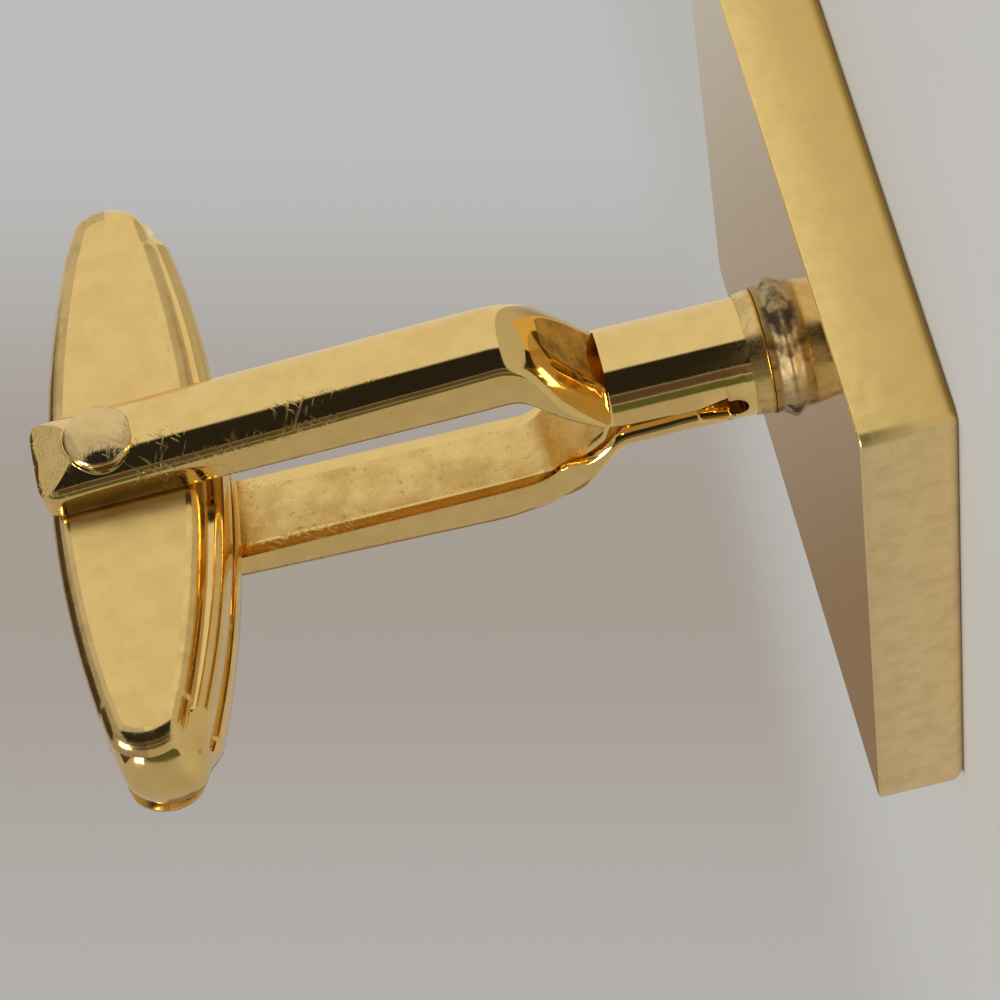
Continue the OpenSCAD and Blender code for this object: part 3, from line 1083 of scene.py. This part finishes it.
        sin, cos = np.sin(angle), np.cos(angle)
        to_arc = -lift * cos + np.sqrt(np.maximum(radius ** 2 - (lift * sin) ** 2, 0.0))
        to_wall = wall / np.maximum(np.abs(sin), HAIR)
        to_flat = (middle - inner) / np.maximum(-cos, HAIR)
        ways = np.stack(np.broadcast_arrays(to_arc, to_wall, to_flat))
        least, power = ways.min(axis=0), self.sharpness(z)
        soft = least * ((ways / least) ** -power).sum(axis=0) ** (-1.0 / power)
        reach = np.where(z <= self.joined_z + TINY, least, soft)
        to_cut = (cut_y - middle) / np.maximum(cos, HAIR)
        reach = np.where(is_cut & (cos > 0.0), np.minimum(reach, to_cut), reach)
        drawn = np.clip(z - (self.top_z - self.end_r), 0.0, self.end_r)
        inset = self.end_r - np.sqrt(self.end_r ** 2 - drawn ** 2)
        reach = np.maximum(reach - inset, self.least_reach)
        return np.stack([reach * sin, middle + reach * cos, z + 0.0 * angle], -1)

    def leg(self, crank: Crank) -> Surface:
        """One leg, open where it is one with the other below the eye.

        Args:
            crank: the leg's bend.

        Returns:
            The leg, with finish 0 for the wire, 1 for the flat and 2 for the facet, whose dark
            brown colour is a painted reflection.
        """
        bright, flat, painted_facet = range(3)
        rings = self.rings(crank)
        first_flat, quarter = 2 * self.half_columns, self.half_columns // 2
        z = rings[:, 0, 2]
        facet_rows = np.flatnonzero((z >= self.facet_z) & (z < self.facet_top_z)) + 1
        cranked_rows = np.flatnonzero(z > self.facet_z) + 1
        finish = np.full((len(rings) + 1, rings.shape[1]), bright)
        finish[:, first_flat + 1:-1] = flat
        finish[cranked_rows[:, None], [first_flat + 1, -2]] = bright
        finish[facet_rows, quarter:3 * quarter] = painted_facet
        shell = lofted(with_poles(rings), finish)
        row, column = np.divmod(np.arange(len(shell.quads)), rings.shape[1])
        joined_rows = int((z <= self.joined_z + TINY).sum())
        shared = (row >= 1) & (row < joined_rows) & (column >= first_flat)
        return Surface(shell.points, shell.quads[~shared][:, ::-1], shell.finish[~shared])

    def build(self) -> bpy.types.Object:
        """Builds the two legs as one folded piece.

        Returns:
            The stirrup.
        """
        legs = self.leg(FAR_CRANK).joined(self.leg(NEAR_CRANK).mirrored())
        made = legs.to_object("folded_stirrup", [
            WIRE_FINISH.material(), INNER_FINISH.material(), FACET_PAINTED_REFLECTION_FINISH.material()],
            crease=30.0)
        return self.place(made, Body.FRAME, Slot.GOLD, "stirrup")


@dataclass
class PivotPin(Part):
    """The rivet: a shaft and two domed heads, turned about the pin's axis."""

    axis_z: float
    head_y: float
    arm_y: float
    arm_r: float = ARM_ARC_R
    sink: float = 0.3
    shaft_r: float = 0.55
    head_r: float = 0.81
    edge: float = 0.03
    rim_r: float = 0.16
    rim_deg: float = 75.0
    dome: float = 0.16
    burr_r: float = 0.03
    burr_gap: float = 0.02
    rim_steps: int = 9
    dome_steps: int = 24
    columns: int = 96

    def build(self) -> bpy.types.Object:
        """Builds the pin: its profile of radius and reach swept round Y, then mirrored.

        Returns:
            The pin.
        """
        seat = self.arm_y - self.sink
        rim_y = self.head_y - self.dome - self.rim_r
        rim = fillet((self.head_r - self.rim_r, rim_y), self.rim_r, 0.0, self.rim_deg,
                     self.rim_steps)
        dome_r, dome_y = rim[-1]
        spread = dome_r * np.cos(np.linspace(0.0, math.pi / 2, self.dome_steps))[1:-1]
        lift = self.head_y - dome_y
        dome = np.stack([spread, dome_y + lift * (1.0 - (spread / dome_r) ** 2)], 1)
        shaft = [[self.shaft_r, 0.0], [self.shaft_r, seat], [self.head_r - self.edge, seat],
                 [self.head_r, seat + self.edge]]
        profile = np.concatenate([shaft, rim, dome])
        half = lofted(with_poles(turned(profile, self.columns), first=False))
        half.points = np.stack([half.points[:, 0], half.points[:, 2],
                                -half.points[:, 1] + self.axis_z], 1)
        half = half.joined(self.burr())
        made = half.joined(half.mirrored()).to_object("rivet_pin", [HEAD_FINISH.material()])
        return self.place(made, Body.FRAME, Slot.GOLD, "pivot_pin")

    def burr(self) -> Surface:
        """The thin lip of metal raised round the head.

        A small tube whose path is a circle about the pin laid on the arm's round crown.

        Returns:
            The closed tube on the +Y side.
        """
        turn = np.linspace(0.0, FULL_TURN, self.columns, endpoint=False)[:, None]
        around = np.linspace(0.0, FULL_TURN, 9)[None, :-1]
        reach = self.head_r + self.burr_gap + self.burr_r * np.cos(around)
        x, z = reach * np.cos(turn), reach * np.sin(turn)
        y = self.arm_y - self.arm_r + np.sqrt(self.arm_r ** 2 - x ** 2)
        rings = np.stack([x, y + self.burr_r * np.sin(around), z + self.axis_z], -1)
        return lofted(np.concatenate([rings, rings[:1]]))


@dataclass
class BarShape:
    """Sizes that the core and the cheeks share, in the bar's own frame on the pin's axis."""

    axis_z: float
    half_len: float = 7.65
    tilt: float = 5.4
    end_r: float = 1.76
    core_half_w: float = 1.25
    half_w: float = 1.70

    def to_link(self, points: Array) -> Array:
        """Turns points from the bar's frame by its tilt about Y and lifts them to the pin.

        Args:
            points: array whose last axis holds X, Y and Z.

        Returns:
            The points in the link's frame.
        """
        c, s = math.cos(math.radians(self.tilt)), math.sin(math.radians(self.tilt))
        x, y, z = points[..., 0], points[..., 1], points[..., 2]
        return np.stack([x * c + z * s, y, self.axis_z - x * s + z * c], -1)


def rounded_side(x: Array, end: float, half_h: float, side_r: float, tip_r: float,
                 blend: float) -> Array:
    """Half height of a long piece: a flat arc along its side and a round at each tip.

    Args:
        x: places along the bar.
        end: reach of the piece along the bar.
        half_h: half height in the middle.
        side_r: radius of the long side.
        tip_r: radius of the tips.
        blend: how far the corner between side and tip is rounded.

    Returns:
        The half height at each place.
    """
    side = half_h - side_r + np.sqrt(side_r ** 2 - x ** 2)
    past = np.clip(np.abs(x) - (end - tip_r), 0.0, tip_r)
    tip = np.where(past > 0, np.sqrt(tip_r ** 2 - past ** 2), OUT_OF_REACH)
    return np.minimum(soft_min(side, tip, blend), tip)


@dataclass
class ToggleCore(Part):
    """The middle layer: a crowned outer side, two ridges towards the plate, bullet tips."""

    shape: BarShape
    drop: float = 0.5
    half_h: float = 2.07
    side_r: float = 24.0
    tip_r: float = 1.3
    tip_blend: float = 0.12
    tip_start: float = 6.3
    tip_len: float = 0.85
    crown: float = 0.4
    ridge_y: float = 0.62
    ridge_drop: float = 0.17
    groove_w: float = 0.3
    groove_d: float = 0.24
    groove_half_len: float = 6.8
    groove_fade: float = 0.25
    groove_loss: float = 0.4
    seam_w: float = 0.16
    seam_d: float = 0.12
    rows: int = 240
    columns: int = 72

    def build(self) -> bpy.types.Object:
        """Builds the core: sections across Y and Z that shrink to nothing at both tips.

        Height along the bar is the lesser of the long side's arc and the tip's round, and
        across it falls by the crown; at the tips each section turns into an ellipse.

        Returns:
            The core.
        """
        shape = self.shape
        x = shape.half_len * np.sin(np.linspace(-math.pi / 2, math.pi / 2, self.rows))
        far = np.abs(x)
        h = rounded_side(x, shape.half_len, self.half_h, self.side_r, self.tip_r,
                         self.tip_blend)[:, None]
        past = np.clip(far - (shape.half_len - shape.end_r), 0.0, shape.end_r)
        width = np.minimum(np.sqrt(shape.end_r ** 2 - past ** 2), shape.core_half_w)
        q = np.sin(np.linspace(-math.pi / 2, math.pi / 2, self.columns))[None, :]
        y = q * width[:, None]

        tipness = smoothstep((far - self.tip_start) / self.tip_len)[:, None]
        tip = tipness * h * np.sqrt(np.maximum(1.0 - q ** 2, 0.0))
        seam_t = (np.abs(y) - (shape.core_half_w - self.seam_w)) / self.seam_w
        seam = self.seam_d * smoothstep(seam_t)
        crowned = h - self.crown * (y / shape.core_half_w) ** 2 - seam
        off = (np.abs(y) - self.ridge_y) / self.ridge_y
        ridged = h - self.ridge_drop * off ** 2 - seam
        groove = self.groove_d * np.exp(-(y / (self.groove_w / 2)) ** 2)
        groove = groove * smoothstep((self.groove_half_len - far)[:, None] / self.groove_fade)
        outer = (1.0 - tipness) * crowned + tip
        plate_side = (1.0 - tipness) * ridged + tip - groove * (1.0 - self.groove_loss * tipness)

        xx = np.broadcast_to(x[:, None], y.shape)
        top = np.stack([xx, y, np.maximum(outer, 0.0) - self.drop], -1)
        under = np.stack([xx, y, -np.maximum(plate_side, 0.0) - self.drop], -1)[:, ::-1]
        rings = with_poles(np.concatenate([top, under], 1))
        surface = lofted(shape.to_link(rings))
        surface.quads = surface.quads[:, ::-1]
        made = surface.to_object("bar_core", [CORE_FINISH.material()], crease=40.0)
        return self.place(made, Body.BAR, Slot.GOLD, "toggle_core")


@dataclass
class Cheek(Part):
    """A side layer of the bar: a satin flat and a rounded, worn rim whose outer side is darker by
    painted shade.
    """

    shape: BarShape
    side: Side
    drop: float = 0.34
    half_h: float = 1.79
    side_r: float = 26.5
    round_in: float = 0.43
    flat_end: float = 6.85
    seam_end: float = 7.36
    tip_r: float = 1.15
    least_tip_r: float = 0.4
    tip_draw: float = 0.5
    tip_blend: float = 0.15
    support: float = 0.05
    rows: int = 16
    columns: int = 220

    def outline(self, inset: float, end: float) -> Array:
        """The cheek's outline in X and Z: two long arcs that meet in round tips.

        Args:
            inset: how far the outline is drawn in from the seam's.
            end: reach of the outline along the bar.

        Returns:
            Points once round, the outer side first.
        """
        x = end * np.sin(np.linspace(-math.pi / 2, math.pi / 2, self.columns))
        tip_r = max(self.tip_r - inset * self.tip_draw, self.least_tip_r)
        z = rounded_side(x, end, self.half_h - inset, self.side_r, tip_r, self.tip_blend)
        return np.concatenate([np.stack([x, z], 1), np.stack([x, -z], 1)[::-1]])

    def build(self) -> bpy.types.Object:
        """Builds the cheek: outlines stacked across Y, drawn in along a quarter round.

        Returns:
            The cheek.
        """
        shape = self.shape
        satin, plate_side, shaded_outer_side = range(3)
        turn = np.linspace(0.0, math.pi / 2, self.rows)
        deep = shape.half_w - shape.core_half_w
        y = shape.core_half_w + deep * np.sin(turn)
        inset = self.round_in * (1.0 - np.cos(turn))
        ends = self.flat_end + (self.seam_end - self.flat_end) * np.cos(turn)
        outlines = np.stack([self.outline(i, e) for i, e in zip(inset, ends)])
        inner = self.outline(inset[-1] + self.support, ends[-1] - self.support)[None]
        outlines = np.concatenate([outlines, inner])
        y = np.append(y, y[-1])[:, None] + np.zeros(outlines.shape[:2])
        rings = with_poles(np.stack([outlines[..., 0], y, outlines[..., 1] - self.drop], -1))
        finish = np.full((len(rings) - 1, rings.shape[1]), plate_side)
        # The rim's outer side takes the darker copy of the round's gold: painted shade.
        finish[:, :self.columns] = shaded_outer_side
        finish[-2:] = satin
        surface = lofted(shape.to_link(rings), finish)
        if self.side is Side.NEAR:
            surface = surface.mirrored()
        made = surface.to_object(f"{self.side.value}_side_layer", [
            CHEEK_FINISH.material(), ROUND_FINISH.material(), SHADED_ROUND_FINISH.material()],
            crease=34.0)
        return self.place(made, Body.BAR, Slot.SATIN, f"{self.side.value}_cheek")


@dataclass
class LeafSpring(Part):
    """The flat spring shut in the core; its CAD solid is right and only gets its steel."""

    def dress(self) -> None:
        """Gives the CAD node its steel."""
        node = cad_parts["leaf_spring"]
        node.data.materials.clear()
        node.data.materials.append(SteelFinish("blued_spring_steel").material())
        LOG.info("leaf_spring: dressed")


# Studio


@dataclass(frozen=True)
class Card:
    """An upright curved card of one plain colour, seen only in what the metal reflects.

    Its ends are angles in degrees from -Y towards -X, and it fades out over `soft`.
    """

    name: str
    colour: Colour
    start: float
    stop: float
    radius: float
    soft: float = 4.0


CARDS = (
    Card("white_card", (0.75, 0.75, 0.75), start=-125.0, stop=6.0, radius=30.0),
    Card("black_card", (0.02, 0.02, 0.02), start=-10.0, stop=52.0, radius=30.5),
    Card("brown_card", (0.1, 0.07, 0.06), start=49.0, stop=69.0, radius=31.0),
    Card("olive_card", (0.1, 0.12, 0.06), start=67.0, stop=86.0, radius=31.5),
    Card("tan_card", (0.25, 0.18, 0.12), start=-196.0, stop=-144.0, radius=140.0, soft=10.0),
)


@dataclass
class Studio:
    """The pale floor, the soft light, the plain cards round the link and the camera."""

    paper: Colour = (0.50, 0.505, 0.50)
    shade: Colour = (0.38, 0.335, 0.29)
    band_foot: Span = (-0.13, -0.02)
    band_head: Span = (0.0, 0.10)
    band_least: float = 0.45
    floor_albedo: Colour = (0.62, 0.615, 0.60)
    floor_grain: Colour = (0.54, 0.53, 0.51)
    floor_r: float = 70.0
    floor_fade: Span = (0.35, 0.97)
    camera_mm: Triple = (-49.01, -75.057, 10.931)
    aim_mm: Triple = (-2.275, 0.0, 9.267)
    up: Triple = (0.8229, -0.5176, -0.2345)
    lens: float = 140.0
    sensor: float = 36.0
    clip: Span = (0.005, 5.0)
    card_low: float = 0.05
    card_high: float = 40.0
    card_steps: int = 91
    ceiling_mm: Triple = (58.0, 20.0, 120.0)
    ceiling_deg: float = 24.0
    ceiling_dark: Colour = (0.05, 0.035, 0.025)
    ceiling_pale: Colour = (0.12, 0.09, 0.06)
    lamp_towards: Triple = (-0.53, -0.14, 0.84)
    lamp_aim_z: float = 10.0
    lamp_away: float = 240.0
    lamp_side: float = 90.0
    lamp_power: float = 0.28
    lamp_colour: Colour = (1.0, 0.99, 0.97)

    def build_camera(self) -> None:
        """Sets the camera at the photograph's viewing angle."""
        data = bpy.data.cameras.new("view")
        data.lens, data.sensor_width = self.lens, self.sensor
        data.clip_start, data.clip_end = self.clip
        camera = bpy.data.objects.new("view", data)
        back = (Vector(self.camera_mm) - Vector(self.aim_mm)).normalized()
        right = Vector(self.up).cross(back).normalized()
        turn = Matrix((right, back.cross(right), back)).transposed().to_4x4()
        camera.matrix_world = Matrix.Translation(Vector(self.camera_mm) * MM) @ turn
        bpy.context.scene.collection.objects.link(camera)
        bpy.context.scene.camera = camera

    def build_world(self) -> None:
        """Fills the world with pale paper and a band of painted shadow, darker and warmer, across
        its middle.

        The band is the product of two smooth slopes of the direction's height along the
        camera's up direction.
        """
        world = bpy.data.worlds.new("studio")
        world.use_nodes = True
        nodes, link = world.node_tree.nodes, world.node_tree.links.new
        height = nodes.new("ShaderNodeVectorMath")
        height.operation = "DOT_PRODUCT"
        height.inputs[1].default_value = self.up
        link(nodes.new("ShaderNodeTexCoord").outputs["Generated"], height.inputs[0])
        band = nodes.new("ShaderNodeMath")
        band.operation = "MULTIPLY"
        ends = ((*self.band_foot, self.band_least, 1.0), (*self.band_head, 1.0, 0.0))
        for numbers, factor in zip(ends, band.inputs):
            slope = nodes.new("ShaderNodeMapRange")
            slope.interpolation_type = "SMOOTHSTEP"
            for socket, number in zip(slope.inputs[1:5], numbers):
                socket.default_value = number
            link(height.outputs["Value"], slope.inputs[0])
            link(slope.outputs[0], factor)
        # The band blends in the shade colour: a painted shadow on the backdrop.
        mixed = nodes.new("ShaderNodeMix")
        mixed.data_type = "RGBA"
        link(band.outputs[0], mixed.inputs["Factor"])
        mixed.inputs[6].default_value = (*self.paper, 1.0)
        mixed.inputs[7].default_value = (*self.shade, 1.0)
        link(mixed.outputs[2], nodes["Background"].inputs["Color"])
        bpy.context.scene.world = world

    def build_floor(self) -> None:
        """Lays a round pale floor that fades into the backdrop at its rim."""
        angle = np.linspace(0.0, FULL_TURN, 97)[:-1]
        rim = np.stack([np.cos(angle), np.sin(angle), 0.0 * angle], 1) * self.floor_r * MM
        mesh = bpy.data.meshes.new("floor")
        mesh.from_pydata(rim.tolist(), [], [list(range(len(rim)))])
        shader = Shader("pale_floor")
        lightness = shader.ramp(shader.noise(0.4, detail=6.0), 0.3, 0.7, 0.0, 0.06)
        colour = shader.blend(lightness, self.floor_albedo, self.floor_grain)
        shader.link(colour, shader.principled.inputs["Base Color"])
        shader.principled.inputs["Roughness"].default_value = 0.9
        shader.principled.inputs["Specular IOR Level"].default_value = 0.1
        length = shader.node("ShaderNodeVectorMath", operation="LENGTH")
        shader.link(shader.place, length.inputs[0])
        inner, outer = (share * self.floor_r * MM for share in self.floor_fade)
        solid = shader.ramp(length.outputs["Value"], inner, outer, 1.0, 0.0)
        shader.link(solid, shader.principled.inputs["Alpha"])
        mesh.materials.append(shader.material)
        floor = bpy.data.objects.new("floor", mesh)
        bpy.context.scene.collection.objects.link(floor)

    def build_card(self, card: Card) -> None:
        """Stands one card round the link, from the floor up.

        Args:
            card: the card.
        """
        degrees = np.linspace(card.start, card.stop, self.card_steps)
        angle = np.radians(degrees)
        base = np.stack([-np.sin(angle), -np.cos(angle)], 1) * card.radius
        count = len(base)
        low = np.column_stack([base, np.full(count, self.card_low)])
        high = np.column_stack([base, np.full(count, self.card_high)])
        first = np.arange(count - 1)
        quads = np.stack([first, first + 1, first + count + 1, first + count], 1)
        mesh = bpy.data.meshes.new(card.name)
        mesh.from_pydata((np.concatenate([low, high]) * MM).tolist(), [], quads.tolist())
        fade = (smoothstep((degrees - card.start) / card.soft)
                * smoothstep((card.stop - degrees) / card.soft))
        weight = mesh.attributes.new("fade", "FLOAT", "POINT")
        weight.data.foreach_set("value", np.concatenate([fade, fade]))
        shader = Shader(card.name)
        share = shader.node("ShaderNodeAttribute", attribute_name="fade").outputs["Fac"]
        mesh.materials.append(shader.shine(card.colour, share))
        self.add_reflected(bpy.data.objects.new(card.name, mesh))

    def build_ceiling(self) -> None:
        """Hangs a dark round card over the bar, seen only in what the metal reflects."""
        x, y, height = self.ceiling_mm
        turn = np.linspace(0.0, FULL_TURN, 48, endpoint=False)
        reach = height * math.tan(math.radians(self.ceiling_deg))
        rim = np.stack([reach * np.cos(turn) + x, reach * np.sin(turn) + y,
                        np.full(len(turn), height)], 1)
        mesh = bpy.data.meshes.new("dark_ceiling")
        mesh.from_pydata((rim * MM).tolist(), [], [list(range(len(rim)))])
        shader = Shader("dark_ceiling")
        cloth = shader.blend(shader.noise(0.02, detail=3.0), self.ceiling_dark,
                             self.ceiling_pale)
        mesh.materials.append(shader.shine(cloth))
        self.add_reflected(bpy.data.objects.new("dark_ceiling", mesh))

    def add_reflected(self, card: bpy.types.Object) -> None:
        """Adds a card that only glossy rays see.

        Args:
            card: the card's object.
        """
        bpy.context.scene.collection.objects.link(card)
        card.visible_camera = card.visible_diffuse = card.visible_shadow = False

    def build_lamp(self) -> None:
        """Hangs the soft square lamp that faces the link."""
        data = bpy.data.lights.new("window", "AREA")
        data.shape, data.size = "SQUARE", self.lamp_side * MM
        data.energy, data.color = self.lamp_power, self.lamp_colour
        lamp = bpy.data.objects.new("window", data)
        way = Vector(self.lamp_towards).normalized()
        aim = Vector((0.0, 0.0, self.lamp_aim_z * MM))
        lamp.matrix_world = (Matrix.Translation(aim + way * self.lamp_away * MM)
                             @ way.to_track_quat("Z", "Y").to_matrix().to_4x4())
        bpy.context.scene.collection.objects.link(lamp)

    def build(self) -> None:
        """Builds the whole studio."""
        self.build_camera()
        self.build_world()
        self.build_floor()
        for card in CARDS:
            self.build_card(card)
        self.build_ceiling()
        self.build_lamp()
        bpy.context.scene.view_settings.view_transform = "Standard"


def main() -> None:
    """Builds the studio and every piece of the link in order."""
    logging.basicConfig(level=logging.INFO, format="%(name)s: %(message)s")
    Studio().build()
    _, plate_high = (np.array(c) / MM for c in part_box("face_plate"))
    _, stirrup_high = (np.array(c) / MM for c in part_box("stirrup"))
    pin_low, pin_high = (np.array(c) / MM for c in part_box("pivot_pin"))
    axis_z = float(pin_low[2] + pin_high[2]) / 2
    head_y = float(pin_high[1])
    arm_y = head_y - HEAD_OVER_ARM
    back_z = float(plate_high[2])
    FacePlate(half=float(plate_high[0]), thickness=back_z).build()
    root = SolderAndCollar(base_z=back_z)
    root.build_solder()
    root.build_collar()
    Stirrup(base_z=back_z, top_z=float(stirrup_high[2]), pin_z=axis_z, crown_y=arm_y).build()
    PivotPin(axis_z=axis_z, head_y=head_y, arm_y=arm_y).build()
    bar = BarShape(axis_z=axis_z)
    ToggleCore(shape=bar).build()
    for side in Side:
        Cheek(shape=bar, side=side).build()
    LeafSpring().dress()


if __name__ == "__main__":
    main()
